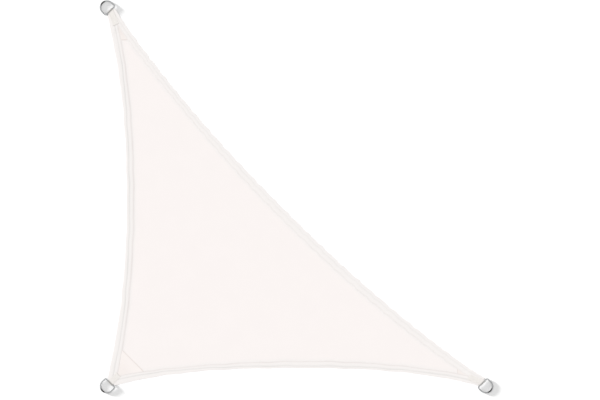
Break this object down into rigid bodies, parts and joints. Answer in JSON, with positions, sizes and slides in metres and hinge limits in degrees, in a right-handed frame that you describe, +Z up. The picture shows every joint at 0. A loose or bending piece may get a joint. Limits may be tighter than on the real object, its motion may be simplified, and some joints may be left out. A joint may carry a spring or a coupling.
{
  "type": "shade sail",
  "caption": "Right-angled triangular shade sail with concave hemmed sides, webbing straps and a steel D-ring at each corner, laid out flat.",
  "frame": {"origin": "centre of the footprint, on the ground that the sail lies on", "axes": "+X and +Y along the two equal legs, the right angle at -X -Y, +Z up, square to the cloth"},
  "size_m": [2.0042, 2.0042, 0.0096],
  "materials": {
    "sail_cloth": "cream white woven polyester with a matt surface",
    "corner_patch": "the sail's own cloth, doubled under the corner and stitched along its seam",
    "webbing": "off-white woven polyester webbing, cross-stitched",
    "ring_steel": "polished stainless steel wire, bent and butt welded"
  },
  "bodies": {
    "root": {"sail_cloth": "sail_cloth", "patch_square": "corner_patch", "patch_east": "corner_patch", "patch_north": "corner_patch", "strap_square": "webbing", "strap_east": "webbing", "strap_north": "webbing", "ring_square": "ring_steel", "ring_east": "ring_steel", "ring_north": "ring_steel"}
  },
  "joints": []
}
